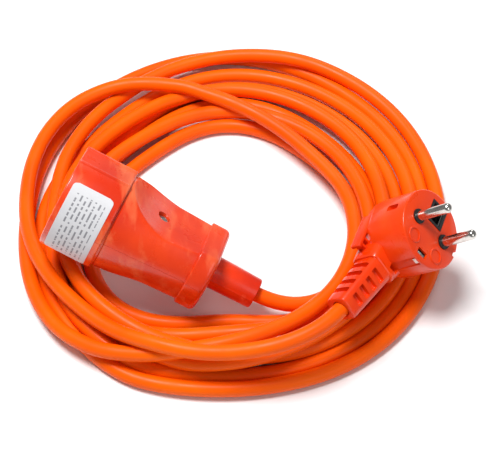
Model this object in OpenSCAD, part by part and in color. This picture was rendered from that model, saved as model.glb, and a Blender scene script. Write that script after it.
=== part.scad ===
// Coiled mains extension cord: an angled earthed plug, about five metres of
// round three-core cord wound into a loose coil, and a rewirable socket made
// of two half shells held by one screw.
// Each connector is drawn in its own frame and then laid on the coil.

/* [Cord] */
// Outer diameter of the cord
cord_d = 7.4; // [7:0.1:8]
// Diameter of one insulated core
core_d = 2.4; // [2:0.1:2.6]
// Radius of the middle of the coil's bundle
coil_r = 81; // [80:1:83]
// Width of the coil's bundle
coil_w = 50; // [44:1:52]
// Height of the coil's bundle
coil_h = 25; // [22:1:26]

/* [Plug] */
// Diameter of the plug's round face
face_d = 38; // [37:0.5:39]
// Depth of the plug behind its face
plug_depth = 30; // [29:1:32]
// Distance between the two pins
pin_gap = 19; // [19]
// Diameter of a pin
pin_d = 4.8; // [4.8]
// Length of a pin in front of the face
pin_l = 19; // [18.5:0.5:19.5]
// Length of the slotted strain relief
relief_l = 28; // [26:1:30]

/* [Socket] */
// Diameter of the socket's hood
hood_d = 50; // [49:0.5:51]
// Length of the hood
hood_l = 26; // [25:1:28]
// Distance across the hood's two side flats
hood_flats = 48; // [47:0.5:49]
// Diameter of the recess that a plug goes into
recess_d = 40; // [39.5:0.5:40.5]
// Depth of that recess
recess_l = 17; // [16:1:18]
// Thickness of the shells' walls behind the hood
wall = 2.4; // [2:0.2:2.8]
// Radius of the contact holes
hole_r = 2.7; // [2.6:0.1:2.9]

/* [Hidden] */

$fn = 48;
eps = 0.05;
sides = 10;                    // sides of a cord's tube

// The whole object's place: its box is centred on the origin
object_at = [-2.5, 0, 0];
// Where the socket's mouth and the plug's face are, with the coil's middle
// at the origin and the floor at z = 0
socket_at = [-78.5, -21, 50];
socket_turn = [-25.5, 20.2, -19.9];
plug_at = [91.6, -38.75, 46];
plug_turn = [1.3, 46.8, -19.5];

// Socket: along its axis from the mouth
body_x = hood_l + 1;
collar_x = 68;
collar_end = 78;
sleeve_end = 101;
waist_x = 52;
screw_x = 46;
jacket_x = 57;                 // where the cord's jacket ends inside
clamp_x = 62;
contact_y = pin_gap / 2;
plate_l = 3.4;
carrier_end = 39;
terminal_end = 46;

// Plug: its neck leaves sideways, this far behind the face
neck_z = -23;
neck_angle = 258;              // in the face's plane, from the pin line
neck_r = 24;
neck_drop = 8;                 // the relief droops this many degrees
rim_depth = 20.9;
shank_r = 2;                   // of a pin's moulded-in end

// Cord leads, with the coil's middle at the origin
lead_r = cord_d / 2;
socket_lead = [[-28, -39.4, 30.2], [-18, -43, 26.3], [-7.9, -46.6, 22.4],
               [2.7, -50.4, 18.2], [13.3, -54.2, 14.1], [24, -56.4, 11.2],
               [35, -55.5, 9.7], [45, -51.5, 9.3]];
plug_lead = [[68.4, -47.8, 33.2], [60.5, -59.3, 33.7], [54.8, -67.5, 34.1],
             [49.2, -75.8, 34.5], [44.5, -81.2, 34.6], [39, -85.6, 34.2],
             [32.8, -89, 33.4], [25.3, -91.8, 32.2], [16.5, -93.6, 30.6],
             [6.6, -94.4, 28.8], [-3.4, -94.2, 27], [-14.2, -92.8, 25.4],
             [-25.7, -90, 24.2], [-37.5, -85.4, 23.2]];

function unit(v) = v / norm(v);

// A point on the smooth curve through pts, at span i and fraction t
function on_curve(pts, i, t) =
  let (n = len(pts) - 1, a = pts[max(i - 1, 0)], b = pts[i],
       c = pts[i + 1], d = pts[min(i + 2, n)])
  0.5 * (2 * b + (c - a) * t + (2 * a - 5 * b + 4 * c - d) * t * t
         + (3 * b - a - 3 * c + d) * t * t * t);

// The curve cut into so many steps a span
function smooth(pts, steps) =
  [for (i = [0 : len(pts) - 2], k = [0 : steps - 1]) on_curve(pts, i, k / steps),
   pts[len(pts) - 1]];

function heading(line, i) =
  unit(line[min(i + 1, len(line) - 1)] - line[max(i - 1, 0)]);

function ring(p, dir, r, n) =
  let (side = unit(cross(dir, [0, 0.02, 1])), over = cross(side, dir))
  [for (k = [0 : n - 1])
     p + r * (cos(360 * k / n) * side + sin(360 * k / n) * over)];

// A closed round tube along a line of points
module tube(line, r, n = sides) {
  m = len(line);
  points = [for (i = [0 : m - 1]) each ring(line[i], heading(line, i), r, n)];
  skin = [for (i = [0 : m - 2], k = [0 : n - 1])
            let (a = i * n + k, b = i * n + (k + 1) % n) [a, b, b + n, a + n]];
  first = [for (k = [n - 1 : -1 : 0]) k];
  last = [for (k = [0 : n - 1]) (m - 1) * n + k];
  polyhedron(points, [first, each skin, last], convexity = 4);
}

module in_socket() translate(object_at + socket_at) rotate(socket_turn) children();
module in_plug() translate(object_at + plug_at) rotate(plug_turn) children();
// A rod along x, from x1 to x2
module rod_x(x1, x2, ra, rb = undef)
  translate([x1, 0, 0]) rotate([0, 90, 0])
    cylinder(h = x2 - x1, r1 = ra, r2 = is_undef(rb) ? ra : rb);
// A block given by its lowest and highest corners
module block(a, b) translate(a) cube(b - a);

// ---------------------------------------------------------------- cord

// The room that the two connectors take out of the coil
module connector_room() {
  in_socket() {
    rod_x(-3, body_x, hood_d / 2 + 0.6);
    rod_x(body_x - eps, collar_end + 1, hood_d / 2 - 1);
    rod_x(collar_end, sleeve_end + 3, 9);
  }
  in_plug() {
    translate([0, 0, -20]) cylinder(h = 24, r = face_d / 2 + 1);
    translate([0, 0, -plug_depth - 1.5]) cylinder(h = 17, r1 = 13, r2 = face_d / 2 + 1);
  }
}

module cord_coil() color("darkorange")
  difference() {
    translate(object_at) rotate_extrude($fn = 72) translate([coil_r, coil_h / 2])
      intersection() {
        scale([coil_w / coil_h, 1]) circle(d = coil_h * 1.12, $fn = 36);
        square([coil_w, coil_h], center = true);
      }
    connector_room();
  }

module cord_lead_socket() color("darkorange")
  translate(object_at) tube(smooth(socket_lead, 3), lead_r);

module cord_lead_plug() color("darkorange")
  translate(object_at) tube(smooth(plug_lead, 3), lead_r);

// -------------------------------------------------------------- socket

// How far the body's two scooped sides stand from the axis, along x
function scoop(x) =
  x < waist_x
    ? 13.2 + 11 * pow((waist_x - x) / (waist_x - hood_l), 1.7)
    : 13.2 + 0.6 * (x - waist_x) / (collar_x - waist_x);

module scoop_profile(gap) {
  xs = [hood_l : 3 : collar_x + 1];
  polygon([for (x = xs) [x, scoop(x) - gap],
           for (i = [len([for (x = xs) x]) - 1 : -1 : 0])
             let (x = hood_l + 3 * i) [x, gap - scoop(x)]]);
}

// The body between the hood and the collar, shrunk by gap
module body_form(gap) intersection() {
  rod_x(hood_l - 1, collar_x, 23.4 - gap, 20 - gap);
  rotate([90, 0, 0]) linear_extrude(60, center = true) scoop_profile(gap);
}

module collar_form() intersection() {
  union() {
    rod_x(collar_x, collar_end - 3, 21.4);
    rod_x(collar_end - 3, collar_end, 21.4, 18.4);
  }
  block([collar_x, -30, -15.5], [collar_end, 30, 15.5]);
}

module hood_form() intersection() {
  union() {
    rod_x(0, 1, hood_d / 2 - 0.8, hood_d / 2);
    rod_x(1, hood_l - 0.8, hood_d / 2);
    rod_x(hood_l - 0.8, hood_l, hood_d / 2, hood_d / 2 - 0.8);
  }
  block([0, -30, -hood_flats / 2], [hood_l, 30, hood_flats / 2]);
}

module socket_hollow() {
  rod_x(-1, recess_l, recess_d / 2);
  rod_x(recess_l - eps, recess_l + plate_l + 0.2, 21.6);
  rod_x(recess_l + plate_l, hood_l, 20.4);
  intersection() {
    body_form(wall);
    block([hood_l - 1, -30, -30], [collar_x + 1, 30, 30]);
  }
  rod_x(collar_x - eps, collar_x + 5.6, 11.2);
  rod_x(collar_x - eps, collar_end + 1, 8.2);
}

module socket_shell_whole() difference() {
  union() {
    hood_form();
    body_form(0);
    collar_form();
  }
  socket_hollow();
}

module socket_half(up) intersection() {
  socket_shell_whole();
  block([-1, -40, up ? 0 : -40], [collar_end + 1, 40, up ? 40 : 0]);
}

module socket_shell_upper() color([0.9, 0.28, 0.16]) in_socket() difference() {
  union() {
    socket_half(true);
    translate([screw_x, 0, 0.1]) cylinder(h = scoop(screw_x) - 1, r = 4.2);
  }
  translate([screw_x, 0, -1]) cylinder(h = 30, r = 1.75);
  translate([screw_x, 0, 9]) cylinder(h = 20, r = 3.1);
}

module socket_shell_lower() color([0.88, 0.26, 0.15]) in_socket() difference() {
  union() {
    socket_half(false);
    translate([screw_x, 0, 1 - scoop(screw_x)]) cylinder(h = scoop(screw_x) - 1.1, r = 4.2);
    for (s = [-1, 1]) translate([clamp_x, s * 9, 1 - scoop(clamp_x)])
      cylinder(h = scoop(clamp_x) + 2, r = 3);
  }
  translate([screw_x, 0, -30]) cylinder(h = 31, r = 1.75);
  translate([screw_x, 0, -30]) cylinder(h = 19, r = 3.3, $fn = 6);
  for (s = [-1, 1]) translate([clamp_x, s * 9, -8]) cylinder(h = 20, r = 1.3);
}

module socket_label() color("whitesmoke") in_socket() intersection() {
  rotate([0, 90, 0]) rotate([0, 0, -139])
    translate([0, 0, 2.5]) rotate_extrude(angle = 98, $fn = 96)
      translate([hood_d / 2 + 0.02, 0]) square([0.2, 20.5]);
  block([0, -30, -hood_flats / 2], [hood_l, 30, hood_flats / 2]);
}

module socket_contact_carrier() color([0.12, 0.12, 0.13]) in_socket() difference() {
  union() {
    rod_x(recess_l + 0.1, recess_l + plate_l, 21.4);
    block([recess_l + plate_l - eps, -14.2, -8], [carrier_end, 14.2, 8]);
  }
  for (s = [-1, 1]) translate([0, s * contact_y, 0]) {
    rod_x(recess_l - 1, recess_l + plate_l, hole_r);
    rod_x(recess_l + plate_l, carrier_end + 1, 3.6);
  }
  // Slots for the earth bracket's legs and room for its bar
  for (s = [-1, 1]) translate([recess_l + 2, 0, s * 16.3])
    cube([plate_l + 6, 9, 1.8], center = true);
  block([recess_l + plate_l - 2 * eps, -4.5, -9], [recess_l + plate_l + 1.9, 4.5, 9]);
}

// A slit brass tube with a screw terminal behind it
module contact() difference() {
  union() {
    rod_x(recess_l + plate_l + 0.2, carrier_end + 1, 3.5);
    block([carrier_end + 0.3, -3.6, -3.6], [terminal_end, 3.6, 3.6]);
  }
  rod_x(recess_l, carrier_end, pin_d / 2 + 0.08);
  rod_x(carrier_end + 1.5, terminal_end + 1, 1.3);
  block([recess_l, -0.4, -5], [carrier_end - 4, 0.4, 5]);
  translate([(carrier_end + terminal_end) / 2 + 0.6, 0, 0]) cylinder(h = 9, r = 1.25);
}

module socket_contact_line() color("gold") in_socket()
  translate([0, contact_y, 0]) contact();
module socket_contact_neutral() color("gold") in_socket()
  translate([0, -contact_y, 0]) contact();

module socket_earth_bracket() color("silver") in_socket() {
  bar_x = recess_l + plate_l + 0.4;
  difference() {
    union() {
      block([bar_x, -3.6, -16.9], [bar_x + 1.2, 3.6, 16.9]);
      for (s = [-1, 1]) translate([0, 0, s * 16.3])
        block([4.5, -3.6, -0.6], [bar_x + 1.2, 3.6, 0.6]);
      block([bar_x, -3.2, -15.5], [36, 3.2, -9]);
    }
    translate([bar_x + 2, 0, -12.2]) rod_x(0, 20, 1.3);
    translate([32, 0, -17]) cylinder(h = 5, r = 1.25);
  }
}

// A screw whose head is at the top, along -z
module screw(r, head_r, shaft, head = 1.8) difference() {
  union() {
    translate([0, 0, -shaft]) cylinder(h = shaft, r = r);
    cylinder(h = head, r = head_r);
  }
  translate([0, 0, head]) cube([head_r * 1.6, 0.7, 1.6], center = true);
}

module socket_terminal_screws() color("silver") in_socket() {
  x = (carrier_end + terminal_end) / 2 + 0.6;
  for (s = [-1, 1]) translate([x, s * contact_y, 3.65]) screw(1.2, 2.2, 3);
  translate([32, 0, -15.55]) rotate([180, 0, 0]) screw(1.2, 2, 3, 1.4);
}

module socket_cord_clamp() color([0.2, 0.2, 0.2]) in_socket() difference() {
  block([clamp_x - 3.2, -12.4, 2.1], [clamp_x + 3.2, 12.4, 5.6]);
  rod_x(clamp_x - 5, clamp_x + 5, lead_r + 0.02);
  for (s = [-1, 1]) translate([clamp_x, s * 9, 0]) cylinder(h = 9, r = 1.5);
}

module socket_clamp_screws() color("silver") in_socket()
  for (s = [-1, 1]) translate([clamp_x, s * 9, 5.65]) screw(1.25, 2.4, 11);

module socket_housing_screw() color("silver") in_socket()
  translate([screw_x, 0, 9.05]) screw(1.6, 2.9, 19.5, 2.2);

module socket_housing_nut() color("silver") in_socket()
  translate([screw_x, 0, -13.2]) difference() {
    cylinder(h = 2.1, r = 3.1, $fn = 6);
    translate([0, 0, -1]) cylinder(h = 9, r = 1.65);
  }

module socket_bend_sleeve() color([0.85, 0.25, 0.14]) in_socket() difference() {
  union() {
    rod_x(collar_x + 0.2, collar_x + 5.4, 11);
    rod_x(collar_x + 5, collar_end + 0.4, 8.1);
    rod_x(collar_end + 0.3, sleeve_end - 1, 7.8, 7.2);
    rod_x(sleeve_end - 1, sleeve_end, 7.2, 6.4);
  }
  rod_x(collar_x, sleeve_end + 1, lead_r + 0.02);
}

// One insulated core in a connector's own frame
module core(pts) tube(smooth(pts, 3), core_d / 2, 8);

module socket_core_brown() color([0.4, 0.22, 0.1]) in_socket()
  core([[jacket_x, 1.3, 0.8], [54, 4.5, 0.6], [50.5, 8.6, 0.2], [terminal_end + 0.2, contact_y, 0]]);
module socket_core_blue() color([0.15, 0.35, 0.75]) in_socket()
  core([[jacket_x, -1.3, 0.8], [54, -4.5, 0.6], [50.5, -8.6, 0.2], [terminal_end + 0.2, -contact_y, 0]]);
module socket_core_earth() color([0.45, 0.7, 0.2]) in_socket()
  core([[jacket_x, 0, -1.4], [53.5, 0, -5], [51, -5.6, -7.5], [45, -6, -9.6],
        [40, -2, -11.2], [36.1, 0, -12.2]]);

// ---------------------------------------------------------------- plug

window_lo = [-5, 3, -15];
window_hi = [5.5, 15, 1];

module neck_frame() rotate([0, 0, neck_angle]) translate([0, 0, neck_z]) children();
// The strain relief's frame: x runs along it from its root
module relief_frame() neck_frame() translate([neck_r - 1, 0, 0])
  rotate([0, neck_drop, 0]) children();
module jacket_bore() relief_frame() rod_x(-12, relief_l + 1, lead_r + 0.02);

module relief_form() difference() {
  hull() {
    block([-2, -8.5, -6.5], [1, 8.5, 6.5]);
    block([relief_l - 1, -6.7, -5.6], [relief_l, 6.7, 5.6]);
  }
  for (i = [0 : 3], s = [-1, 1]) translate([5.2 + 5.5 * i, s * 8.1, 0])
    cube([3, 7, 20], center = true);
}

module plug_body() color([0.95, 0.25, 0.1]) in_plug() difference() {
  union() {
    translate([0, 0, -rim_depth]) cylinder(h = rim_depth - 0.8, r = face_d / 2, $fn = 96);
    translate([0, 0, -0.8 - eps]) cylinder(h = 0.8 + eps, r1 = face_d / 2, r2 = face_d / 2 - 0.8, $fn = 96);
    hull() {
      translate([0, 0, -rim_depth - 0.5]) cylinder(h = 1, r = face_d / 2 - 0.1, $fn = 48);
      translate([0, 0, -plug_depth + 5]) cylinder(h = 1, r = 15, $fn = 32);
      translate([0, 0, -plug_depth]) cylinder(h = 1, r = 12, $fn = 32);
    }
    // Finger grip and its ribs
    translate([-14.6, -9, -25]) cube([2.4, 19, 9], center = true);
    for (i = [0 : 3]) translate([-12.5, -4 - 3 * i, -25]) cube([3, 1.2, 9], center = true);
    hull() {
      neck_frame() block([6, -9.5, -8], [8, 9.5, 8]);
      neck_frame() block([neck_r - 2, -9, -6.8], [neck_r, 9, 6.8]);
    }
    for (s = [-1, 1]) translate([s * 8, -9.8, 0]) difference() {
      cylinder(h = 0.3, r = 3.4);
      translate([0, 0, -1]) cylinder(h = 2, r = 3);
    }
  }
  // Room for the bridge, the earth contact's sides and the guide grooves
  translate([0, 0, -20.1]) cylinder(h = 19, r = 14.3);
  block(window_lo, window_hi);
  block([-3, -16.2, -4], [3, -13, 1]);
  for (s = [-1, 1]) {
    translate([s * contact_y, 0, -3]) cylinder(h = 4, r = 3.6);
    translate([s * 18.6, 0, -8]) cube([2.6, 3.4, 18], center = true);
    translate([0, s * 18.4, -10.2]) cube([6, 2.6, 22.4], center = true);
  }
  block([-2.6, -18.2, -21.4], [2.6, 18.2, -19.9]);
  // The jacket's and the cores' way in
  jacket_bore();
  translate([0, 0, -27]) cylinder(h = 8, r = 10.5);
}

// The slotted part of the same moulding, past the neck
module plug_strain_relief() color([0.95, 0.25, 0.1]) in_plug() difference() {
  relief_frame() relief_form();
  neck_frame() block([0, -20, -20], [neck_r, 20, 20]);
  jacket_bore();
}

module plug_bridge() color([0.1, 0.1, 0.11]) in_plug() difference() {
  union() {
    translate([0, 0, -20]) cylinder(h = 18.8, r = 14.2);
    for (s = [-1, 1]) translate([s * contact_y, 0, -2]) cylinder(h = 2.6, r = 3.5);
    block([-4.9, 3.1, -3], [5.4, 14.9, 0.2]);
  }
  for (s = [-1, 1]) translate([s * contact_y, 0, -21]) cylinder(h = 25, r = shank_r + 0.02);
  block([-3.6, 4.4, -21], [4.1, 13.6, 1]);
  block([-2.9, -15, -21], [2.9, -13, 0]);
}

module pin() {
  translate([0, 0, -22]) cylinder(h = 23, r = shank_r);
  translate([0, 0, 0.62]) cylinder(h = pin_l - 1.6 - 0.62, r = pin_d / 2);
  translate([0, 0, pin_l - 1.6]) rotate_extrude() intersection() {
    translate([0.8, 0]) circle(r = 1.6);
    square([pin_d / 2, 1.6]);
  }
  translate([0, 0, pin_l - 1.6]) cylinder(h = 1.6, r = 0.81);
}

module plug_pin_line() color("silver") in_plug() translate([contact_y, 0, 0]) pin();
module plug_pin_neutral() color("silver") in_plug() translate([-contact_y, 0, 0]) pin();

// A strip across the plug with a clip at each side, and the springs that
// grip an earth pin in the window
module plug_earth_contact() color("silver") in_plug() {
  for (s = [-1, 1]) translate([0, s * 17.6, 0]) block([-2.4, -0.4, -21.2], [2.4, 0.4, -1.2]);
  for (y = [4.7, 13.3]) translate([0, y, 0]) block([-2.4, -0.25, -21.2], [2.4, 0.25, -1.5]);
  block([-2.4, -18, -21.2], [2.4, 18, -20.3]);
}

module plug_crimps() color("goldenrod") in_plug()
  for (x = [-contact_y, contact_y]) translate([x, 0, -24]) difference() {
    cylinder(h = 4, r = 1.9);
    translate([0, 0, -1]) cylinder(h = 3, r = 1);
  }

module plug_core_brown() color([0.4, 0.22, 0.1]) in_plug()
  core([[9.5, 0, -24.1], [9, -3, -25.5], [5, -7, -25.6], [-0.5, -10.5, -24], [-2.4, -11.3, -23]]);
module plug_core_blue() color([0.15, 0.35, 0.75]) in_plug()
  core([[-9.5, 0, -24.1], [-8, -4, -25.2], [-5.4, -8.4, -24.5], [-3.3, -12.4, -23]]);
module plug_core_earth() color([0.45, 0.7, 0.2]) in_plug()
  core([[0, -3, -22.5], [-0.6, -6, -22], [-1.7, -11.8, -22]]);

// --------------------------------------------------------------- parts

cord_coil();
cord_lead_socket();
cord_lead_plug();
socket_shell_upper();
socket_shell_lower();
socket_label();
socket_contact_carrier();
socket_contact_line();
socket_contact_neutral();
socket_earth_bracket();
socket_terminal_screws();
socket_cord_clamp();
socket_clamp_screws();
socket_housing_screw();
socket_housing_nut();
socket_bend_sleeve();
socket_core_brown();
socket_core_blue();
socket_core_earth();
plug_body();
plug_strain_relief();
plug_bridge();
plug_pin_line();
plug_pin_neutral();
plug_earth_contact();
plug_crimps();
plug_core_brown();
plug_core_blue();
plug_core_earth();
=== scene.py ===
"""Looks of a coiled mains extension cord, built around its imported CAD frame.

The cord is one curve of its real length. Its turns come from a short table of
radii, and a small rope solver then lays them down: they keep a diameter apart,
rest on the floor and on each other, and pass round the socket and the plug.
The moulded housings are lofted and cut in millimetres, each connector in its
own frame, and then moved to where the CAD has them.
"""
import math

import bmesh
import bpy
import numpy as np
from mathutils import Euler, Matrix, Vector


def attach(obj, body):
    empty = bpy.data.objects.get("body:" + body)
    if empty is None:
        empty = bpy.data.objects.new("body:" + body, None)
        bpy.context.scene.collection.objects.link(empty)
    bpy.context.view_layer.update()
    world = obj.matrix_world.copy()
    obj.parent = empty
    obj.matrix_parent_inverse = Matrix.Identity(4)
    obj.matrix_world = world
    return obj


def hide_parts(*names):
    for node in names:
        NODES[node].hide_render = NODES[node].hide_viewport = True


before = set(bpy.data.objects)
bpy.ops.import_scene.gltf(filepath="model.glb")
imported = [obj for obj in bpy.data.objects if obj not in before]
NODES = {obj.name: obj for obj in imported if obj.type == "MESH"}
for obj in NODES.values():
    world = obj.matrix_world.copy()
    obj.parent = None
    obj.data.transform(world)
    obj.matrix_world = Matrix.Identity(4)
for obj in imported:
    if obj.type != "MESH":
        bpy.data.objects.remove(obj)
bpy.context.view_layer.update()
MM = 0.001

# ------------------------------------------------------------ placement

# The same places as in the CAD source, in millimetres
OBJECT_AT = np.array([-2.5, 0.0, 0.0])
SOCKET_AT = OBJECT_AT + [-78.5, -21.0, 50.0]
SOCKET_TURN = (-25.5, 20.2, -19.9)
PLUG_AT = OBJECT_AT + [91.6, -38.75, 46.0]
PLUG_TURN = (1.3, 46.8, -19.5)
CORD_R = 3.7

# The socket, along its axis from its mouth
HOOD_L = 26.0
HOOD_R = 25.0
HOOD_FLAT = 24.0               # half of what the hood's two flats leave
BODY_R = (23.4, 20.0)          # the tapered body behind the hood and at the collar
COLLAR = (68.0, 78.0)
COLLAR_R = 21.4
COLLAR_FLAT = 15.5
SCOOP_X, SCOOP_FLAT = 52.0, 13.2  # where the hollowed sides are lowest, and how high
SCREW_X = 46.0
SLEEVE_END = 101.0
WALL = 2.4

# The plug: its face lies at z 0 and its pins point along z
FACE_R = 19.0
RIM_DEPTH = 20.5               # how far back the round rim goes
PLUG_DEPTH = 30.0
PIN_X = 9.5
PIN_R = 2.4
PIN_L = 19.0
CLIP_Y = 17.6                  # how far out the earth contact's arms lie
NECK_ANGLE = math.radians(258)  # where the cord leaves, seen from the pins
NECK_R = 24.0                  # how far out the neck ends
NECK_Z = -23.0
RELIEF_R = NECK_R - 1.0        # the relief starts a little inside the neck
RELIEF_L = 28.0
RELIEF_DROP = math.radians(8)


def turn_matrix(degrees):
    """The rotation that the CAD's rotate([x, y, z]) makes."""
    return np.array(Euler([math.radians(a) for a in degrees], "XYZ").to_matrix())


SOCKET_M = turn_matrix(SOCKET_TURN)
PLUG_M = turn_matrix(PLUG_TURN)


def from_plug(p):
    """A point in the plug's own frame, in the row's frame."""
    return PLUG_M @ np.array(p, float) + PLUG_AT


# --------------------------------------------------------------- camera

def add_camera():
    """A long lens, 52 degrees above the floor."""
    aim = Vector((5.6, -0.3, 0.0)) * MM
    lift = math.radians(52.0)
    distance = 0.764
    data = bpy.data.cameras.new("camera")
    data.lens = 110.0
    data.sensor_width = 36.0
    data.clip_start = 0.01
    camera = bpy.data.objects.new("camera", data)
    back = Vector((0.0, -math.cos(lift), math.sin(lift)))
    camera.location = aim + back * distance
    camera.rotation_euler = (-back).to_track_quat("-Z", "Y").to_euler()
    bpy.context.scene.collection.objects.link(camera)
    bpy.context.scene.camera = camera


# ----------------------------------------------------------- cord route

# Each turn's height over the floor, and then its radius in eight directions:
# front, front right, right, back right, back, back left, left, front left.
# The first starts at the socket and the last ends at the plug.
TURNS = [
    (6, 54, 70, 66, 60, 64, 58, 66, 77),
    (5, 62, 74, 74, 72, 78, 70, 78, 83),
    (10, 71, 76, 70, 68, 68, 66, 76, 86),
    (5, 84, 86, 87, 88, 88, 76, 86, 90),
    (14, 90, 84, 77, 81, 84, 78, 80, 86),
    (9, 88, 92, 94, 98, 99, 86, 88, 93),
    (12, 94, 101, 104, 110, 107, 94, 84, 92),
    (8, 91, 96, 98, 103, 112, 106, 97, 100),
    (20, 84, 73, 62, 55, 69, 103, 98, 91),
]
LAST = (20, 93, 83)            # the height and the radii just past the last turn's end
TURNS_AT = np.array([-3.7, 0.0, 0.0])
BEND_R = 36.0                  # bends tighter than this are eased open
STEP = 4.0                     # spacing of the solver's points
STRAND_GAP = 2 * CORD_R + 0.15  # between the axes of two strands that touch
HELD_AT_SOCKET = 11            # points of each lead that never move
HELD_AT_PLUG = 20
NOT_PUSHED = 16                # the socket lead's points that the parts don't push
LET_GO = 12                    # points over which a lead lets go of its shape
ROUNDS, QUICK_ROUNDS = 520, 60
FIRST_ANGLE = -16.0            # where the first turn takes over from the lead
LAST_ANGLE = -127.0            # where the last turn hands over to the lead
# The two leads, with the CAD source's points: out of the socket's sleeve, and
# from the last turn up into the plug's relief. OBJECT_AT is added to both.
SOCKET_LEAD = [(-7.9, -46.6, 22.4), (2.7, -50.4, 18.2), (13.3, -54.2, 14.1),
               (24, -56.4, 11.2), (35, -55.5, 9.7), (45, -51.5, 9.3)]
PLUG_LEAD = [(-37.5, -85.4, 23.2), (-25.7, -90, 24.2), (-14.2, -92.8, 25.4),
             (-3.4, -94.2, 27), (6.6, -94.4, 28.8), (16.5, -93.6, 30.6),
             (25.3, -91.8, 32.2), (32.8, -89, 33.4), (39, -85.6, 34.2),
             (44.5, -81.2, 34.6), (49.2, -75.8, 34.5), (54.8, -67.5, 34.1),
             (60.5, -59.3, 33.7)]


def relief_point(x):
    """A point on the plug's strain relief's axis, x from its root."""
    along = RELIEF_R + x * math.cos(RELIEF_DROP)
    return from_plug((along * math.cos(NECK_ANGLE), along * math.sin(NECK_ANGLE),
                      NECK_Z - x * math.sin(RELIEF_DROP)))


def catmull(a, b, c, d, t):
    """A point between b and c on a smooth curve through all four."""
    return 0.5 * (2 * b + (c - a) * t + (2 * a - 5 * b + 4 * c - d) * t ** 2
                  + (3 * b - a - 3 * c + d) * t ** 3)


def at_angle(angle, values):
    """Reads a value at an angle counted in degrees from the first turn's front."""
    place = (angle + 90.0) / 45.0
    i = int(math.floor(place))
    pick = [values[min(max(i + k, 0), len(values) - 1)] for k in (-1, 0, 1, 2)]
    return catmull(*pick, place - i)


def join(before, after, count):
    """Points of a smooth curve from the end of one line into the start of another."""
    b, c = before[-1], after[0]
    reach = 1.1 * np.linalg.norm(c - b)
    out = 1.5 * (b - before[-2]) - 0.5 * (before[-2] - before[-3])
    back = 1.5 * (after[1] - c) - 0.5 * (after[2] - after[1])
    out *= reach / np.linalg.norm(out)
    back *= reach / np.linalg.norm(back)
    return [(2 * t ** 3 - 3 * t ** 2 + 1) * b + (t ** 3 - 2 * t ** 2 + t) * out
            + (3 * t ** 2 - 2 * t ** 3) * c + (t ** 3 - t ** 2) * back
            for t in (k / (count + 1) for k in range(1, count + 1))]


def raw_route():
    """The whole route before it is laid down: lead, turns and lead."""
    rows = TURNS + [LAST]
    radii = [float(r) for row in rows for r in row[1:]] + [float(LAST[-1])]
    heights = [float(row[0]) for row in rows for _ in row[1:]] + [float(LAST[0])]
    start = [np.array(p) + OBJECT_AT for p in SOCKET_LEAD]
    finish = [np.array(p) + OBJECT_AT for p in PLUG_LEAD]
    turns = []
    for angle in np.linspace(FIRST_ANGLE, LAST_ANGLE + 360.0 * len(TURNS), 30 * len(TURNS)):
        r = at_angle(angle, radii)
        a = math.radians(angle)
        turns.append(np.array([r * math.cos(a), r * math.sin(a), at_angle(angle, heights)])
                     + OBJECT_AT + TURNS_AT)
    return np.array(start + join(start, turns, 3) + turns
                    + join(turns, finish, 2) + finish)


def resample(points, step):
    """Evenly spaced points along a smooth curve through the given ones."""
    padded = np.vstack([2 * points[0] - points[1], points, 2 * points[-1] - points[-2]])
    t = np.linspace(0, 1, 12, endpoint=False)[:, None]
    fine = np.vstack([catmull(*padded[i:i + 4], t) for i in range(len(padded) - 3)]
                     + [points[-1:]])
    run = np.concatenate([[0], np.cumsum(np.linalg.norm(np.diff(fine, axis=0), axis=1))])
    count = int(round(run[-1] / step))
    at = np.linspace(0, run[-1], count + 1)
    return np.stack([np.interp(at, run, fine[:, k]) for k in range(3)], axis=1)


# ---------------------------------------------------------- rope solver

def profile(x, table):
    """Reads a table of (place, value) pairs at each x."""
    places, values = zip(*table)
    return np.interp(x, places, values)


# What the cord has to go round: the connectors' radii and the socket's half
# thickness between its flats, place by place along their axes
SLEEVE = [(COLLAR[1] + 0.1, 8.0), (SLEEVE_END, 7.2)]
SOCKET_RADII = [(-0.1, HOOD_R), (HOOD_L, HOOD_R), (HOOD_L + 0.1, BODY_R[0]),
                (COLLAR[0], BODY_R[1]), (COLLAR[0] + 0.1, COLLAR_R), (COLLAR[1], COLLAR_R)]
SOCKET_RADII += SLEEVE
SOCKET_HALF = [(-0.1, HOOD_FLAT), (HOOD_L, HOOD_FLAT), (34, 18.5), (44, 14.2),
               (SCOOP_X, SCOOP_FLAT), (COLLAR[0], 13.8), (COLLAR[0] + 0.1, COLLAR_FLAT),
               (COLLAR[1], COLLAR_FLAT)]
SOCKET_HALF += SLEEVE
PLUG_RADII = [(-PLUG_DEPTH, 12.5), (-25, 16), (-21, FACE_R), (0, FACE_R)]


def push_from(points, matrix, origin, axis, span, radii, halves=None):
    """Moves points out of a body of revolution, flattened where halves says."""
    local = (points - origin) @ matrix
    x = local[:, axis]
    others = [k for k in range(3) if k != axis]
    rho = np.hypot(local[:, others[0]], local[:, others[1]])
    deep = profile(x, radii) + CORD_R - rho
    inside = (x > span[0] - CORD_R) & (x < span[1] + CORD_R) & (deep > 0)
    if halves is None:
        side = np.full(len(x), 1e9)
    else:
        side = profile(x, halves) + CORD_R - np.abs(local[:, 2])
        inside &= side > 0
    move = np.zeros_like(local)
    radial = inside & (deep <= side)
    safe = np.maximum(rho, 1e-6)
    for k in others:
        move[radial, k] = (local[:, k] / safe * deep)[radial]
    flat = inside & (deep > side)
    move[flat, 2] = (np.sign(local[:, 2]) * side)[flat]
    return move @ matrix.T


def push_from_relief(points):
    """Moves points out of the plug's neck and strain relief."""
    a, b = relief_point(-14.0), relief_point(RELIEF_L)
    along = b - a
    t = np.clip((points - a) @ along / (along @ along), 0, 1)
    away = points - (a + t[:, None] * along)
    dist = np.linalg.norm(away, axis=1)
    deep = np.maximum(8.0 + CORD_R - dist, 0)
    return away / np.maximum(dist, 1e-6)[:, None] * deep[:, None]


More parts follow.
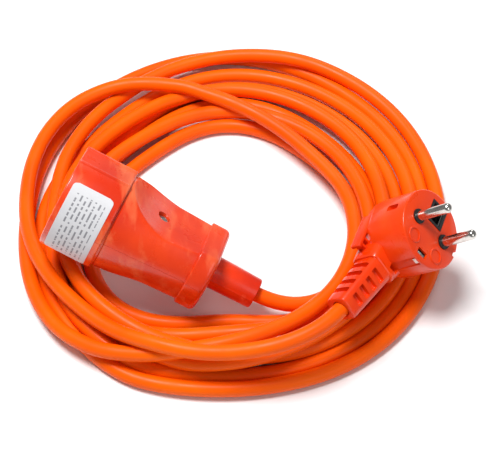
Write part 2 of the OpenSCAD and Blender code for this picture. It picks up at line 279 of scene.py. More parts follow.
def ease_bends(p, free, k):
    """Opens out any bend tighter than BEND_R, seen over k points each way."""
    ends = p[2 * k:] - p[:-2 * k]
    off = p[k:-k] - (p[:-2 * k] + p[2 * k:]) / 2
    size = np.linalg.norm(off, axis=1)
    allowed = (ends ** 2).sum(1) / (8 * BEND_R)
    move = off * (np.maximum(size - allowed, 0) / np.maximum(size, 1e-6) * 0.4)[:, None]
    total = np.zeros_like(p)
    total[k:-k] -= move
    total[:-2 * k] += move / 2
    total[2 * k:] += move / 2
    p[free] += total[free]


def keep_shape(p, home, free, k, weight):
    """Stiffness over k points each way: the cord keeps the bends of its route."""
    off = p - home
    bend = np.zeros_like(p)
    bend[k:-k] = (off[:-2 * k] + off[2 * k:]) / 2 - off[k:-k]
    p[free] += weight * bend[free]


def keep_spacing(p, free):
    """Brings neighbouring points back to STEP from each other."""
    edge = p[1:] - p[:-1]
    size = np.linalg.norm(edge, axis=1)
    fix = edge * ((size - STEP) / size / 2 * 0.9)[:, None]
    p[:-1][free[:-1]] += fix[free[:-1]]
    p[1:][free[1:]] -= fix[free[1:]]


def near_pairs(p, reach):
    """Pairs of points that may come within reach, apart from close neighbours."""
    gap = p[:, None, :] - p[None, :, :]
    near = (gap ** 2).sum(2) < (reach + 3.0) ** 2
    return np.nonzero(np.triu(near, 4))


def keep_apart(p, free, pairs, reach):
    """Pushes strands apart where they lie closer than reach."""
    i, j = pairs
    gap = p[i] - p[j]
    dist = np.linalg.norm(gap, axis=1)
    hit = dist < reach
    i, j, gap, dist = i[hit], j[hit], gap[hit], dist[hit]
    push = gap / np.maximum(dist, 1e-6)[:, None] * ((reach - dist) * 0.5)[:, None]
    total = np.zeros_like(p)
    count = np.zeros(len(p))
    np.add.at(total, i, push)
    np.add.at(total, j, -push)
    np.add.at(count, i, 1)
    np.add.at(count, j, 1)
    total /= np.maximum(count, 1)[:, None] ** 0.5
    p[free] += total[free]


def clear_parts(p, free, outside):
    """Keeps the cord out of the socket and the plug, and on the floor."""
    body = push_from(p, SOCKET_M, SOCKET_AT, 0, (0, SLEEVE_END), SOCKET_RADII, SOCKET_HALF)
    body += push_from(p, PLUG_M, PLUG_AT, 2, (-PLUG_DEPTH, 0), PLUG_RADII)
    body += push_from_relief(p)
    p[outside] += body[outside]
    p[:, 2] = np.where(free, np.maximum(p[:, 2], CORD_R), p[:, 2])


def lay_down(home, rounds):
    """Settles the cord: even spacing, no overlaps, on the floor, not in the parts."""
    n = len(home)
    index = np.arange(n)
    free = (index >= HELD_AT_SOCKET) & (index < n - HELD_AT_PLUG)
    outside = (index > NOT_PUSHED) & (index < n - HELD_AT_PLUG)
    # The leads let go of their shape bit by bit
    hold = np.maximum(np.clip((HELD_AT_SOCKET + LET_GO - index) / LET_GO, 0, 1),
                      np.clip((index - n + HELD_AT_PLUG + LET_GO + 1) / LET_GO, 0, 1))
    hold = hold[:, None] ** 2
    p = home.copy()
    pairs = None
    for step in range(rounds):
        # The cord starts thin, so that crossing strands can pass each other
        reach = STRAND_GAP * min(1.0, 0.25 + 1.2 * step / rounds)
        if step % 8 == 0:
            pairs = near_pairs(p, reach)
        for k, weight in ((1, 0.2), (2, 0.2), (5, 0.25)):
            keep_shape(p, home, free, k, weight)
        for k in (1, 2, 4, 7):
            ease_bends(p, free, k)
        # Weight, and a pull back to where the turn was put; both fade out
        calm = 1.0 - step / rounds
        p[free, 2] -= 0.10 * min(1.0, 4 * calm)
        pull = (home - p) * np.array([0.12, 0.12, 0.0]) * min(1.0, 3 * calm)
        p[free] += pull[free]
        for _ in range(2):
            keep_spacing(p, free)
        for _ in range(2):
            keep_apart(p, free, pairs, reach)
            clear_parts(p, free, outside)
        p += hold * (home - p)
    return p


# --------------------------------------------------------- mesh helpers

def make_mesh(name, points, faces):
    """A closed mesh object in millimetres, with its faces turned outwards."""
    mesh = bpy.data.meshes.new(name)
    mesh.from_pydata([tuple(p) for p in points], [], faces)
    bm = bmesh.new()
    bm.from_mesh(mesh)
    bmesh.ops.recalc_face_normals(bm, faces=bm.faces)
    bm.to_mesh(mesh)
    bm.free()
    obj = bpy.data.objects.new(name, mesh)
    bpy.context.scene.collection.objects.link(obj)
    return obj


def loft(name, rings):
    """A closed skin over a row of rings, each with the same number of points."""
    n = len(rings[0])
    faces = [[a * n + k, a * n + (k + 1) % n, (a + 1) * n + (k + 1) % n, (a + 1) * n + k]
             for a in range(len(rings) - 1) for k in range(n)]
    last = (len(rings) - 1) * n
    faces += [list(range(n - 1, -1, -1)), [last + k for k in range(n)]]
    return make_mesh(name, np.vstack(rings), faces)


def combine(target, tool, operation):
    """Cuts, joins or keeps what the tool covers. The tool is used up."""
    modifier = target.modifiers.new("combine", "BOOLEAN")
    modifier.operation = operation
    modifier.solver = "EXACT"
    modifier.object = tool
    graph = bpy.context.evaluated_depsgraph_get()
    mesh = bpy.data.meshes.new_from_object(target.evaluated_get(graph))
    target.modifiers.clear()
    target.data = mesh
    bpy.data.objects.remove(tool)
    return target


def cut(target, *tools):
    """Takes the tools out of the target."""
    for tool in tools:
        combine(target, tool, "DIFFERENCE")
    return target


def add(target, *tools):
    """Joins the tools to the target."""
    for tool in tools:
        combine(target, tool, "UNION")
    return target


def block(low, high, edge=0.0, segments=3):
    """A box from its lowest to its highest corner, with rounded edges."""
    low, high = np.array(low, float), np.array(high, float)
    bm = bmesh.new()
    bmesh.ops.create_cube(bm, size=1.0)
    for v in bm.verts:
        v.co = Vector((low + high) / 2 + np.array(v.co) * (high - low))
    if edge:
        bmesh.ops.bevel(bm, geom=bm.edges[:], offset=edge, segments=segments,
                        profile=0.5, affect="EDGES")
    return object_from(bm, "block")


def object_from(bm, name):
    """An object from a bmesh, which is used up."""
    mesh = bpy.data.meshes.new(name)
    bm.to_mesh(mesh)
    bm.free()
    obj = bpy.data.objects.new(name, mesh)
    bpy.context.scene.collection.objects.link(obj)
    return obj


def turned(name, outline, axis="x", sides=96, seam=0.0):
    """A closed body of revolution from (place, radius) pairs along an axis.

    seam lifts a fine mould line along its two sides."""
    rings = []
    angles = np.arange(sides) * 2 * math.pi / sides
    lift = seam * (np.arange(sides) % (sides // 2) == 0)
    for place, radius in outline:
        r = radius + lift
        u, v, w = np.full(sides, float(place)), r * np.cos(angles), r * np.sin(angles)
        rings.append(np.stack({"x": (u, v, w), "z": (v, w, u)}[axis], axis=1))
    return loft(name, rings)


def shifted(obj, move):
    """Moves an object's mesh."""
    obj.data.transform(Matrix.Translation(move))
    return obj


def round_start(start, radius, steps=5):
    """Places along a rounded edge where a length starts, with how far in each is."""
    angles = np.linspace(0, math.pi / 2, steps)
    return [(start + radius * (1 - math.cos(a)), radius * (1 - math.sin(a))) for a in angles]


def round_end(end, radius, steps=5):
    """The same for a rounded edge where a length ends."""
    angles = np.linspace(0, math.pi / 2, steps)[::-1]
    return [(end - radius * (1 - math.cos(a)), radius * (1 - math.sin(a))) for a in angles]


def finish_piece(obj, name, matrix, origin, look, replaced, slot_name, sharp=32.0):
    """Moves a finished piece to its place in the row's frame and hands it over."""
    obj.name = name
    rows = [[*(matrix[r] * MM), origin[r] * MM] for r in range(3)]
    obj.data.transform(Matrix(rows + [[0, 0, 0, 1]]))
    obj.data.materials.clear()
    obj.data.materials.append(look)
    obj.data.polygons.foreach_set("use_smooth", [True] * len(obj.data.polygons))
    obj.data.set_sharp_from_angle(angle=math.radians(sharp))
    obj.data.update()
    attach(obj, "root")
    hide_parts(*replaced)
    return obj


# --------------------------------------------------------------- socket

def scoop(x):
    """Height of the hollowed sides over the socket's axis."""
    if x < SCOOP_X:
        return SCOOP_FLAT + 11.0 * ((SCOOP_X - x) / (SCOOP_X - HOOD_L)) ** 1.7
    return SCOOP_FLAT + 0.6 * (x - SCOOP_X) / (COLLAR[0] - SCOOP_X)


def body_r(x):
    """Radius of the socket's tapered body."""
    near, far = BODY_R
    return near - (near - far) * (x - HOOD_L) / (COLLAR[0] - HOOD_L)


def flat_ring(x, radius, half, fillet=1.1, lip=0.0):
    """A circle cut by two flats, its corners rounded, or raised by a lip."""
    half = min(half, radius - 0.03)
    corner_y = math.sqrt(radius ** 2 - half ** 2)
    fillet = min(fillet, 0.6 * corner_y)
    corner = math.atan2(half, corner_y)
    arc_end = corner - fillet / radius
    arc = [(radius * math.cos(a), radius * math.sin(a)) for a in np.linspace(0, arc_end, 18)]
    p0, p2 = np.array(arc[-1]), np.array([corner_y - fillet, half])
    p1 = np.array([corner_y, half]) * (1 + lip / radius)
    bend = [tuple((1 - t) ** 2 * p0 + 2 * t * (1 - t) * p1 + t * t * p2)
            for t in (0.2, 0.4, 0.6, 0.8)]
    flat = [(y, half) for y in np.linspace(corner_y - fillet, 0, 8)]
    quarter = arc + bend + flat
    half_ring = quarter + [(-y, z) for y, z in quarter[-2::-1]]
    ring = half_ring + [(y, -z) for y, z in half_ring[-2:0:-1]]
    return np.array([(x, y, z) for y, z in ring])


def socket_outside():
    """The two shells' common outside: hood, hollowed body and collar."""
    rings = [flat_ring(x, HOOD_R - d, HOOD_FLAT - d, lip=1.6)
             for x, d in round_start(0.0, 0.7) + round_end(HOOD_L, 0.9)]
    groove = 0.5
    for x in [HOOD_L + 0.05, HOOD_L + 0.9]:
        rings.append(flat_ring(x, body_r(x) - groove, scoop(x) - groove))
    for x in np.arange(HOOD_L + 1.4, COLLAR[0] - 0.6, 1.4):
        rings.append(flat_ring(x, body_r(x), scoop(x), fillet=0.9))
    rings.append(flat_ring(COLLAR[0], body_r(COLLAR[0]), scoop(COLLAR[0]), fillet=0.9))
    rings += [flat_ring(x, COLLAR_R - d, COLLAR_FLAT - 0.7 * d, fillet=1.6)
              for x, d in round_start(COLLAR[0] + 0.05, 0.8, 7) + round_end(COLLAR[1], 3.0, 7)]
    return loft("socket", rings)


def socket_inside():
    """The room inside the shells, behind the plug's recess."""
    rings = [flat_ring(x, body_r(x) - WALL, scoop(x) - WALL)
             for x in np.linspace(HOOD_L - 1.0, COLLAR[0] - 0.5, 16)]
    return loft("inside", rings)


def socket_recess():
    """The recess for a plug, with a rounded-off mouth, and the carrier's groove."""
    return turned("recess", [(-1.0, 22.4), (0.6, 21.6), (1.6, 20.6), (3.2, 20.0),
                             (16.95, 20.0), (17.0, 21.6), (20.6, 21.6), (20.65, 20.4),
                             (HOOD_L, 20.4)], sides=128)


def socket_half(up):
    """One half shell, with its screw's post and hole."""
    side = 1 if up else -1
    seam = 0.07
    shell = socket_outside()
    cut(shell, socket_recess(), socket_inside(),
        turned("gland", [(COLLAR[0] - 1, 11.2), (COLLAR[0] + 5.6, 11.2)]),
        turned("exit", [(COLLAR[0] + 5, 8.25), (COLLAR[1] + 1, 8.25)]))
    near, far = (seam, 40) if up else (-40, -seam)
    combine(shell, block([-2, -40, near], [COLLAR[1] + 2, 40, far]), "INTERSECT")
    post_end = side * (scoop(SCREW_X) - 1.0)
    ends = sorted([side * 0.1, post_end])
    add(shell, shifted(turned("post", [(ends[0], 4.2), (ends[1], 4.2)], "z", 48),
                       (SCREW_X, 0, 0)))
    cut(shell, shifted(turned("shaft", [(-30, 1.75), (30, 1.75)], "z", 32), (SCREW_X, 0, 0)))
    if up:
        pocket = turned("pocket", [(9, 3.1), (15.2, 3.1), (15.9, 3.7), (30, 3.7)], "z", 48)
    else:
        pocket = turned("pocket", [(-30, 3.4), (-11, 3.4)], "z", 6)
    return cut(shell, shifted(pocket, (SCREW_X, 0, 0)))


def bend_sleeve():
    """The soft sleeve behind the collar, open at its end."""
    sleeve = turned("sleeve", [(68.3, 7.6), (72.9, 7.6), (73.0, 8.1), (78.2, 8.1), (79.0, 7.95),
                               (84.0, 7.8), (99.9, 7.45), (100.6, 7.3), (SLEEVE_END, 6.9)],
                    seam=0.16)
    return cut(sleeve, turned("bore", [(60, 3.72), (97.5, 3.75), (99.8, 4.3), (102, 4.7)]))


def housing_screw():
    """The pan-head screw in the scoop, with its cross recess."""
    screw = turned("screw", [(-10.4, 1.6), (9.9, 1.6), (10.0, 2.9), (12.0, 2.9), (12.8, 2.4),
                             (13.2, 1.2)], "z", 48)
    cut(screw, block([-1.9, -0.35, 12.1], [1.9, 0.35, 14]),
        block([-0.35, -1.9, 12.1], [0.35, 1.9, 14]))
    return shifted(screw, (SCREW_X, 0, 0))


def socket_label_sheet():
    """A thin label with rounded corners, bent round the hood."""
    radius, rows, columns, corner = HOOD_R + 0.06, 12, 60, 2.4
    low, high = 2.6, 22.9
    half = math.radians(49.0) * radius
    points, faces = [], []
    for thick in (0.0, 0.14):
        for i in range(columns + 1):
            u = -half + 2 * half * i / columns
            short = max(0.0, corner - (half - abs(u)))
            inset = corner - math.sqrt(max(corner ** 2 - short ** 2, 0.0))
            for j in range(rows + 1):
                x = low + inset + (high - low - 2 * inset) * j / rows
                a = u / radius
                r = radius + thick
                points.append((x, -r * math.cos(a), r * math.sin(a)))
    n, m = rows + 1, (rows + 1) * (columns + 1)
    for i in range(columns):
        for j in range(rows):
            a = i * n + j
            faces.append([a, a + 1, a + n + 1, a + n])
            faces.append([m + a, m + a + n, m + a + n + 1, m + a + 1])
    rim = ([i * n for i in range(columns + 1)]
           + [columns * n + j for j in range(1, n)]
           + [i * n + rows for i in range(columns - 1, -1, -1)]
           + list(range(rows - 1, 0, -1)))
    faces += [[a, b, m + b, m + a] for a, b in zip(rim, rim[1:] + rim[:1])]
    label = make_mesh("label", points, faces)
    # Millimetres along and across the label, for the printed bars
    layer = label.data.uv_layers.new(name="label_mm")
    for loop in label.data.loops:
        x, y, z = label.data.vertices[loop.vertex_index].co
        layer.data[loop.index].uv = (math.atan2(z, -y) * radius, x)
    return label


# ----------------------------------------------------------------- plug

def plug_ring(z, radius, facet):
    """A circle that turns into a soft octagon as facet goes from 0 to 1."""
    n = 128
    angles = np.arange(n) * 2 * math.pi / n
    eighth = math.pi / 4
    off = (angles + eighth / 2) % eighth - eighth / 2
    octagon = math.cos(eighth / 2) / np.cos(off) * 1.03
    r = radius * ((1 - facet) + facet * octagon)
    return np.stack([r * np.cos(angles), r * np.sin(angles), np.full(n, z)], axis=1)


def plug_block():
    """The plug's round front and its tapered, faceted back."""
    rings = [plug_ring(-z, FACE_R - d, 0.0) for z, d in round_start(0.0, 0.7)]
    rings.append(plug_ring(-RIM_DEPTH, FACE_R, 0.0))
    for t in np.linspace(0.1, 1.0, 12):
        depth = RIM_DEPTH + t * (PLUG_DEPTH - 3.0 - RIM_DEPTH)
        rings.append(plug_ring(-depth, FACE_R - 2.6 * t ** 1.5, min(1.0, 1.6 * t)))
    for a in np.linspace(0.25, 1.0, 5) * math.pi / 2:
        depth = PLUG_DEPTH - 3.0 * (1 - math.sin(a))
        rings.append(plug_ring(-depth, FACE_R - 2.6 - 3.4 * (1 - math.cos(a)), 1.0))
    return loft("plug", rings)


def in_neck(obj, x=0.0, drop=0.0):
    """Puts a shape drawn along x in the neck's frame, past x, drooping by drop."""
    droop = Matrix.Rotation(drop, 4, "Y")
    neck = Matrix.Rotation(NECK_ANGLE, 4, "Z") @ Matrix.Translation((x, 0, NECK_Z))
    obj.data.transform(neck @ droop)
    return obj


def box_rings(sections, power=5.0, n=64):
    """Rings of rounded boxes along x from (x, half width, half height)."""
    angles = np.arange(n) * 2 * math.pi / n
    c, s = np.cos(angles), np.sin(angles)
    r = (np.abs(c) ** power + np.abs(s) ** power) ** (-1 / power)
    return [np.stack([np.full(n, x), w * r * c, h * r * s], axis=1) for x, w, h in sections]


def finger_grip():
    """A bar along the plug's side, and the short ribs that hold it."""
    bar = block([-1.0, -9.5, -2.8], [1.0, 9.5, 2.8], 0.6)
    ribs = [shifted(block([-3.6, -0.6, -2.4], [3.6, 0.6, 2.4], 0.2), (-13.6, -1.6 - 3.6 * i, -25.2))
            for i in range(5)]
    return [shifted(bar, (-17.2, -9, -25.4))] + ribs


def face_ring(side):
    """A plain raised ring on the plug's face."""
    ring = turned("ring", [(-0.5, 3.8), (0.22, 3.8), (0.4, 3.62)], "z", 64)
    cut(ring, turned("hole", [(-2, 3.1), (0.2, 3.1), (2, 3.5)], "z", 64))
    return shifted(ring, (8.0 * side, -9.8, 0))


def side_openings(side):
    """Room for a pin's collar, for the earth clip's arm, and a guide groove."""
    collar = turned("collar", [(-3, 3.6), (2, 3.6)], "z", 48)
    arm = block([-2.5, CLIP_Y * side - 0.5, -21.3], [2.5, CLIP_Y * side + 0.5, -1.1])
    groove = block([-2.6, -1.5, -9.5], [2.6, 1.5, 9.5], 0.3)
    return [shifted(collar, (PIN_X * side, 0, 0)), arm,
            shifted(groove, (0, 19.8 * side, -10.8))]


def plug_moulding():
    """The plug's body with its neck, grip, grooves and openings."""
    body = plug_block()
    add(body, in_neck(loft("neck", box_rings([(5, 10.2, 8.6), (14, 10.0, 8.3), (20.0, 9.3, 8.0),
                                             (21.2, 9.0, 7.9), (23.4, 8.6, 7.9),
                                             (NECK_R, 8.2, 7.5)]))))
    add(body, *finger_grip(), face_ring(-1), face_ring(1))
    # Room for the bridge, the earth window and the small window's tab
    cut(body, turned("room", [(-20.1, 14.3), (-1.1, 14.3)], "z"),
        block([-5, 3, -15], [5.5, 15, 2], 0.6),
        block([-3, -16.2, -4], [3, -13, 1], 0.3))
    cut(body, *side_openings(-1), *side_openings(1))
    # A notch in the rim and a small one on the other side
    cut(body, shifted(block([-1.9, -1.8, -10], [1.9, 1.8, 12], 0.5), (FACE_R + 0.1, 0, -6.0)),
        shifted(block([-2.2, -1.6, -3.2], [2.2, 1.6, 3.2], 0.8), (-17.6, 0, -8.4)))
    # Room for the earth contact's strip and tab, and for the wires
    return cut(body, block([-2.6, -18.2, -21.4], [2.6, 18.2, -19.9]),
               block([-1.6, -18.5, -3.5], [1.6, -17.3, -0.9]),
               block([-2.4, -17.4, -3.5], [2.4, -16, -0.6]),
               turned("wires", [(-27, 10.5), (-19, 10.5)], "z"))


def plug_pin(side):
    """A pin with its domed tip."""
    tip, flat = 2.0, 0.35
    dome = [(PIN_L - tip + tip * math.sin(a), flat + (PIN_R - flat) * math.cos(a))
            for a in np.linspace(0, math.pi / 2, 10)]
    pin = turned("pin", [(-22, 2.0), (0.55, 2.0), (0.6, PIN_R)] + dome, "z", 64)
    return shifted(pin, (PIN_X * side, 0, 0))


def earth_contact():
    """The strip across the plug, its side clips, springs and the tab in the small window."""
    clip = block([-2.4, -18, -21.2], [2.4, 18, -20.3])
    for s in (-1, 1):
        add(clip, block([-2.4, CLIP_Y * s - 0.4, -20.8], [2.4, CLIP_Y * s + 0.4, -1.2]))
    for y in (4.7, 13.3):
        add(clip, block([-2.4, y - 0.25, -20.8], [2.4, y + 0.25, -1.5]))
    return add(clip, block([-1.5, -18.6, -3.4], [1.5, -17.7, -1.0]),
               block([-2.2, -17.3, -1.4], [2.2, -14.3, -0.8]),
               block([-1.5, -18.0, -1.4], [1.5, -17.0, -1.0]),
               block([2.0, 13.05, -3.0], [3.7, 13.55, -1.0]),
               block([3.2, 4.9, -3.0], [3.7, 13.5, -0.5]))


def relief_half(x):
    """The relief's half width and half height, x from its root."""
    taper = 1.2 * x / RELIEF_L
    return 7.4 - taper, 7.6 - taper


def strain_relief():
    """A tapered ladder: four rows of slots between rails along its corners."""
    places = [(-2.0, 0.0)] + round_end(RELIEF_L, 0.7)
    sections = [(x, relief_half(x)[0] - d, relief_half(x)[1] - d) for x, d in places]
    relief = loft("relief", box_rings(sections, 4.0))
    slot, rail = 2.9 / 2, 1.8
    for i in range(4):
        x = 5.2 + 5.5 * i
        w, h = relief_half(x)
        tall, wide = h - rail, w - rail - 1.6
        for s in (-1, 1):
            cut(relief, shifted(block([-slot, -3, -tall], [slot, 3, tall], 0.5),
                                (x, s * (w + 0.4), 0)),
                shifted(block([-slot, -wide, -3], [slot, wide, 3], 0.4),
                        (x, 0, s * (h + 0.8))))
    add(relief, turned("core", [(-1.5, 4.3), (RELIEF_L - 1, 4.3)], sides=48))
    cut(relief, turned("mouth", [(RELIEF_L - 6, 3.95), (RELIEF_L - 1.0, 3.95),
                                 (RELIEF_L + 0.5, 4.6)], sides=48))
    return in_neck(relief, RELIEF_R, RELIEF_DROP)


# ------------------------------------------------------------ materials

class Look:
    """A node material built up step by step round one Principled shader."""

    def __init__(self, name, rough=0.4, metallic=0.0, ior=1.5):
        self.material = bpy.data.materials.new(name)
        self.material.use_nodes = True
        self.tree = self.material.node_tree
        self.shader = self.tree.nodes["Principled BSDF"]
        self.shader.inputs["Roughness"].default_value = rough
        self.shader.inputs["Metallic"].default_value = metallic
        self.shader.inputs["IOR"].default_value = ior
        self.place = self.node("ShaderNodeTexCoord").outputs["Object"]
        self.height = None

    def node(self, kind, **settings):
        """A new node with its settings filled in."""
        made = self.tree.nodes.new(kind)
        for key, value in settings.items():
            setattr(made, key, value)
        return made

    def link(self, a, b):
        """Connects output a to input b."""
        self.tree.links.new(a, b)

    def noise(self, scale, detail=2.0, stretch=(1, 1, 1), rough=0.5):
        """A noise value; scale counts features a metre."""
        squeeze = self.node("ShaderNodeMapping")
        squeeze.inputs["Scale"].default_value = stretch
        self.link(self.place, squeeze.inputs["Vector"])
        made = self.node("ShaderNodeTexNoise")
        made.inputs["Scale"].default_value = scale
        made.inputs["Detail"].default_value = detail
        made.inputs["Roughness"].default_value = rough
        self.link(squeeze.outputs["Vector"], made.inputs["Vector"])
        return made.outputs["Fac"]

    def spread(self, value, low, high, out_low=0.0, out_high=1.0):
        """Stretches a value's range from low-high to out_low-out_high."""
        made = self.node("ShaderNodeMapRange")
        for key, number in (("From Min", low), ("From Max", high),
                            ("To Min", out_low), ("To Max", out_high)):
            made.inputs[key].default_value = number
        self.link(value, made.inputs["Value"])
        return made.outputs["Result"]

    def mix(self, factor, a, b):
        """Colour a where factor is 0 and b where it is 1."""
        made = self.node("ShaderNodeMix", data_type="RGBA")
        self.link(factor, made.inputs["Factor"])
        for socket, colour in ((made.inputs[6], a), (made.inputs[7], b)):
            if isinstance(colour, tuple):
                socket.default_value = (*colour, 1.0)
            else:
                self.link(colour, socket)
        return made.outputs[2]

    def maths(self, operation, *values):
        """A math node's result, its inputs numbers or other nodes' outputs."""
        made = self.node("ShaderNodeMath", operation=operation)
        for socket, value in zip(made.inputs, values):
            if isinstance(value, float):
                socket.default_value = value
            else:
                self.link(value, socket)
        return made.outputs[0]

    def colour(self, value):
        """Feeds the shader's colour."""
        self.link(value, self.shader.inputs["Base Color"])

    def rough(self, value):
        """Feeds the shader's roughness."""
        self.link(value, self.shader.inputs["Roughness"])

    def bump(self, value, strength, distance):
        """Adds one more layer of bump under the shader."""
        made = self.node("ShaderNodeBump")
        made.inputs["Strength"].default_value = strength
        made.inputs["Distance"].default_value = distance
        self.link(value, made.inputs["Height"])
        if self.height is not None:
            self.link(self.height, made.inputs["Normal"])
        self.height = made.outputs["Normal"]
        self.link(self.height, self.shader.inputs["Normal"])


def moulded(name, main, deep, pale_and_sheen, rough, marble_and_sheen=0.5, grain=0.06, coat=0.0):
    """Moulded plastic: flow marks, fine grain and uneven gloss; its pale streaks are partly flow
    marks and partly a painted highlight.
    """
    look = Look(name, rough)
    clouds = look.noise(34.0, 4.0, (1.0, 0.7, 1.2), 0.55)
    # Pale streaks over the base colour: partly flow marks in the plastic, partly a painted
    # highlight standing in for the shell's sheen
    streaks_and_sheen = look.noise(26.0, 5.0, (2.6, 0.5, 1.6), 0.65)
    base = look.mix(look.spread(clouds, 0.38, 0.66), main, deep)
    look.colour(look.mix(look.spread(streaks_and_sheen, 0.52, 0.76, 0.0, marble_and_sheen), base, pale_and_sheen))
    look.rough(look.spread(look.noise(90.0, 3.0), 0.3, 0.7, rough - 0.06, rough + 0.1))
    look.bump(look.noise(75.0, 2.0), 0.12, 0.0012)
    look.bump(look.noise(1500.0, 2.0), grain, 0.0003)
    look.shader.inputs["Specular IOR Level"].default_value = 0.35
    look.shader.inputs["Coat Weight"].default_value = coat
    look.shader.inputs["Coat Roughness"].default_value = 0.14
    return look


def cord_look():
    """The cord's orange PVC jacket, satin, a little uneven along its length."""
    look = Look("cord_jacket", 0.36)
    clouds = look.noise(22.0, 3.0)
    base = look.mix(look.spread(clouds, 0.35, 0.68), (0.95, 0.128, 0.0005), (0.88, 0.092, 0.0005))
    # Lighter orange flecks here and there over the jacket
    light_flecks = look.noise(260.0, 5.0, rough=0.7)
    look.colour(look.mix(look.spread(light_flecks, 0.62, 0.85, 0.0, 0.35), base, (0.95, 0.20, 0.006)))
    look.rough(look.spread(look.noise(120.0, 3.0), 0.3, 0.7, 0.3, 0.46))
    look.shader.inputs["Specular IOR Level"].default_value = 0.15
    look.bump(look.noise(130.0, 2.0), 0.1, 0.0008)
    look.bump(look.noise(2200.0, 2.0), 0.05, 0.0002)
    return look


def metal(name, colour, tarnish, rough, brushed=(1, 1, 8)):
    """Plated or bare metal with fine drawn lines and uneven shine."""
    look = Look(name, rough, metallic=1.0)
    spots = look.noise(240.0, 4.0, rough=0.6)
    look.colour(look.mix(look.spread(spots, 0.45, 0.75), colour, tarnish))
    lines = look.noise(900.0, 3.0, brushed)
    look.rough(look.spread(lines, 0.3, 0.7, rough - 0.04, rough + 0.1))
    look.bump(lines, 0.05, 0.0001)
    return look


def nickel_look():
    """The bright plating on the pins and the earth contact."""
    return metal("plated_metal", (0.74, 0.72, 0.68), (0.56, 0.54, 0.51), 0.13)


def insulation(name, main, stripe=None):
    """A core's insulation; the earth core has a spiral second colour."""
    look = Look(name, 0.42)
    clouds = look.noise(300.0, 2.0)
    deep = tuple(0.75 * c for c in main)
    base = look.mix(look.spread(clouds, 0.35, 0.7), main, deep)
    if stripe:
        bands = look.node("ShaderNodeTexWave", bands_direction="DIAGONAL")
        bands.inputs["Scale"].default_value = 90.0
        look.link(look.place, bands.inputs["Vector"])
        base = look.mix(look.spread(bands.outputs["Fac"], 0.45, 0.55), base, stripe)
    look.colour(base)
    look.bump(look.noise(1800.0), 0.05, 0.0002)
    return look


def label_look():
    """A white label with faint grey bars where print would be, and no lettering."""
    look = Look("label", 0.45)
    paper = look.mix(look.noise(500.0, 3.0), (0.66, 0.66, 0.68), (0.60, 0.60, 0.62))
    uv = look.node("ShaderNodeUVMap", uv_map="label_mm")
    split = look.node("ShaderNodeSeparateXYZ")
    look.link(uv.outputs["UV"], split.inputs["Vector"])
    along, across = split.outputs["X"], split.outputs["Y"]
    # Rows: a saw across the label, cut into a bar and a gap
    rows = look.maths("DIVIDE", across, 2.3)
    row = look.spread(look.maths("FRACT", rows), 0.60, 0.66)
    # Words: long dashes along each row, different from row to row
    words = look.node("ShaderNodeTexNoise", noise_dimensions="2D")
    words.inputs["Scale"].default_value = 1.0
    words.inputs["Detail"].default_value = 1.0
    grid = look.node("ShaderNodeCombineXYZ")
    look.link(look.maths("MULTIPLY", along, 0.42), grid.inputs["X"])
    look.link(look.maths("FLOOR", rows), grid.inputs["Y"])
    look.link(grid.outputs["Vector"], words.inputs["Vector"])
    dash = look.spread(words.outputs["Fac"], 0.46, 0.49)
    # A clear margin round the print: within so much of the label's middle
    ink = look.maths("COMPARE", across, 12.75, 7.6)
    for part in (look.maths("COMPARE", along, 0.0, 17.0), row, dash):
        ink = look.maths("MULTIPLY", ink, part)
    look.colour(look.mix(ink, paper, (0.24, 0.24, 0.26)))
    look.bump(look.noise(900.0, 2.0), 0.04, 0.0001)
    return look


def floor_look():
    """Plain white studio paper."""
    look = Look("floor", 0.8)
    look.colour(look.mix(look.noise(40.0, 3.0), (0.9, 0.9, 0.9), (0.87, 0.87, 0.875)))
    look.bump(look.noise(600.0, 2.0), 0.02, 0.0002)
    return look


# ------------------------------------------------------- scene's pieces

def add_cord(on_plug):
    """The whole cord as one curve, from the socket's sleeve to the plug's neck."""
    rounds = ROUNDS
    route = lay_down(resample(raw_route(), STEP), rounds)
    # Every other point is enough for the curve
    points = np.vstack([route[:-1:2], route[-1:]])
    data = bpy.data.curves.new("cord", "CURVE")
    data.dimensions = "3D"
    spline = data.splines.new("NURBS")
    spline.points.add(len(points) - 1)
    spline.points.foreach_set("co", np.hstack([points * MM, np.ones((len(points), 1))]).ravel())
    spline.order_u = 4
    spline.use_endpoint_u = True
    data.resolution_u = 2
    data.bevel_depth = CORD_R * MM
    data.bevel_resolution = 6
    data.use_fill_caps = True
    data.materials.append(cord_look().material)
    piece = bpy.data.objects.new("cord", data)
    bpy.context.scene.collection.objects.link(piece)
    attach(piece, "root")
    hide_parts("cord_coil", "cord_lead_socket", "cord_lead_plug")


def add_socket():
    """Adds the socket's pieces."""
    # In each moulded call the last colour is the pale streak colour, partly a painted highlight on
    # the shell
    shell = moulded("socket_shell", (0.80, 0.05, 0.004), (0.64, 0.026, 0.002),
                    (0.92, 0.24, 0.09), 0.28, 0.75, coat=0.5).material
    sleeve = moulded("soft_sleeve", (0.78, 0.04, 0.003), (0.58, 0.018, 0.002),
                     (0.92, 0.20, 0.09), 0.33, 0.9, coat=0.3).material
    spot = (SOCKET_M, SOCKET_AT)
    for name, up in (("socket_housing_upper", True), ("socket_housing_lower", False)):
        node = "socket_shell_upper" if up else "socket_shell_lower"
        finish_piece(socket_half(up), name, *spot, shell, [node], "socket_shell")
    finish_piece(bend_sleeve(), "socket_sleeve", *spot, sleeve, ["socket_bend_sleeve"],
                 "soft_sleeve")
    zinc = metal("steel_screw", (0.78, 0.78, 0.77), (0.5, 0.5, 0.49), 0.22).material
    finish_piece(housing_screw(), "housing_screw", *spot, zinc, ["socket_housing_screw"], "steel")
    finish_piece(socket_label_sheet(), "socket_sticker", *spot, label_look().material,
                 ["socket_label"], "label")


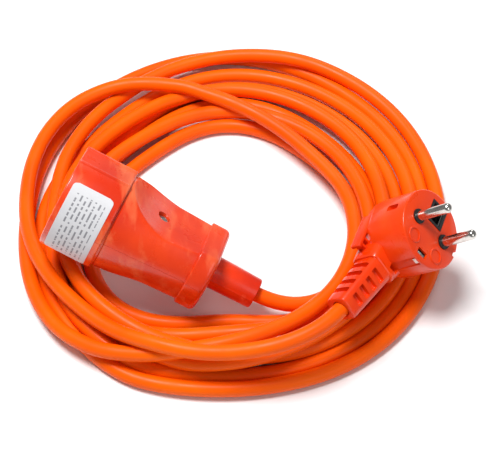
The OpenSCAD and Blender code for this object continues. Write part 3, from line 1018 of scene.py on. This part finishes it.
def add_plug():
    """Adds the plug's pieces and returns them, with the plug's own CAD nodes."""
    # The last colour is the pale streak colour, partly a painted highlight on the plug
    skin = moulded("plug_body", (0.84, 0.05, 0.001), (0.76, 0.034, 0.001),
                   (0.90, 0.12, 0.01), 0.3, 0.4, coat=0.25).material
    spot = (PLUG_M, PLUG_AT)
    nickel = nickel_look().material
    pieces = [
        finish_piece(plug_moulding(), "plug_moulding", *spot, skin, ["plug_body"], "plug_body"),
        finish_piece(strain_relief(), "plug_relief", *spot, skin, ["plug_strain_relief"],
                     "plug_body"),
        finish_piece(plug_pin(1), "pin_line", *spot, nickel, ["plug_pin_line"], "plated_metal"),
        finish_piece(plug_pin(-1), "pin_neutral", *spot, nickel, ["plug_pin_neutral"],
                     "plated_metal"),
        finish_piece(earth_contact(), "earth_clip", *spot, nickel, ["plug_earth_contact"],
                     "plated_metal"),
    ]
    return pieces + [NODES[name] for name in NODES if name.startswith("plug_")]


def paint_frame():
    """Gives each carried-over CAD node its own finish."""
    black = moulded("black_plastic", (0.012, 0.012, 0.013), (0.02, 0.02, 0.021),
                    (0.03, 0.03, 0.032), 0.42, 0.5)
    nickel = nickel_look()
    brass = metal("brass", (0.72, 0.50, 0.20), (0.52, 0.34, 0.13), 0.3)
    steel = metal("steel", (0.56, 0.56, 0.55), (0.40, 0.40, 0.39), 0.32)
    finishes = {
        "socket_contact_carrier": black, "plug_bridge": black,
        "socket_cord_clamp": moulded("clamp", (0.55, 0.55, 0.53), (0.45, 0.45, 0.43),
                                     (0.65, 0.65, 0.62), 0.5),
        "socket_contact_line": brass, "socket_contact_neutral": brass, "plug_crimps": brass,
        "plug_pin_line": nickel, "plug_pin_neutral": nickel, "plug_earth_contact": nickel,
        "core_brown": insulation("core_brown", (0.09, 0.035, 0.015)),
        "core_blue": insulation("core_blue", (0.02, 0.08, 0.42)),
        "core_earth": insulation("core_green_yellow", (0.08, 0.33, 0.03), (0.75, 0.62, 0.03)),
    }
    # Screws, the nut and the earth bracket are in no list: they are steel
    for name, node in NODES.items():
        part = name.split("_", 1)[1]
        look = finishes.get(name) or finishes.get(part) or steel
        for place in node.material_slots:
            place.material = look.material
        if not node.material_slots:
            node.data.materials.append(look.material)


# ----------------------------------------------------------- the studio

def add_floor():
    """A large sheet of white paper, left out of the object's own pieces."""
    mesh = bpy.data.meshes.new("floor")
    bm = bmesh.new()
    bmesh.ops.create_grid(bm, x_segments=1, y_segments=1, size=3.0)
    bm.to_mesh(mesh)
    bm.free()
    mesh.materials.append(floor_look().material)
    floor = bpy.data.objects.new("floor", mesh)
    bpy.context.scene.collection.objects.link(floor)


def add_light(name, at, size, power):
    """A round soft light that looks at the object's middle."""
    data = bpy.data.lights.new(name, "AREA")
    data.shape = "DISK"
    data.size = size
    data.energy = power
    lamp = bpy.data.objects.new(name, data)
    lamp.location = at
    lamp.rotation_euler = (Vector((0, 0, 0.02)) - Vector(at)).to_track_quat("-Z", "Y").to_euler()
    bpy.context.scene.collection.objects.link(lamp)


def add_world():
    """Even white light from all sides, and plain colours in the render."""
    world = bpy.data.worlds.new("studio")
    world.use_nodes = True
    sky = world.node_tree.nodes["Background"]
    sky.inputs["Color"].default_value = (1, 1, 1, 1)
    sky.inputs["Strength"].default_value = 0.2
    bpy.context.scene.world = world
    bpy.context.scene.view_settings.view_transform = "Standard"


add_camera()
add_socket()
add_cord(add_plug())
paint_frame()
add_floor()
add_world()
add_light("key", (-0.25, 0.04, 1.15), 0.5, 16.5)
add_light("fill", (0.7, -0.8, 0.7), 0.8, 2.4)
add_light("rim", (0.3, 0.9, 0.7), 0.5, 2)
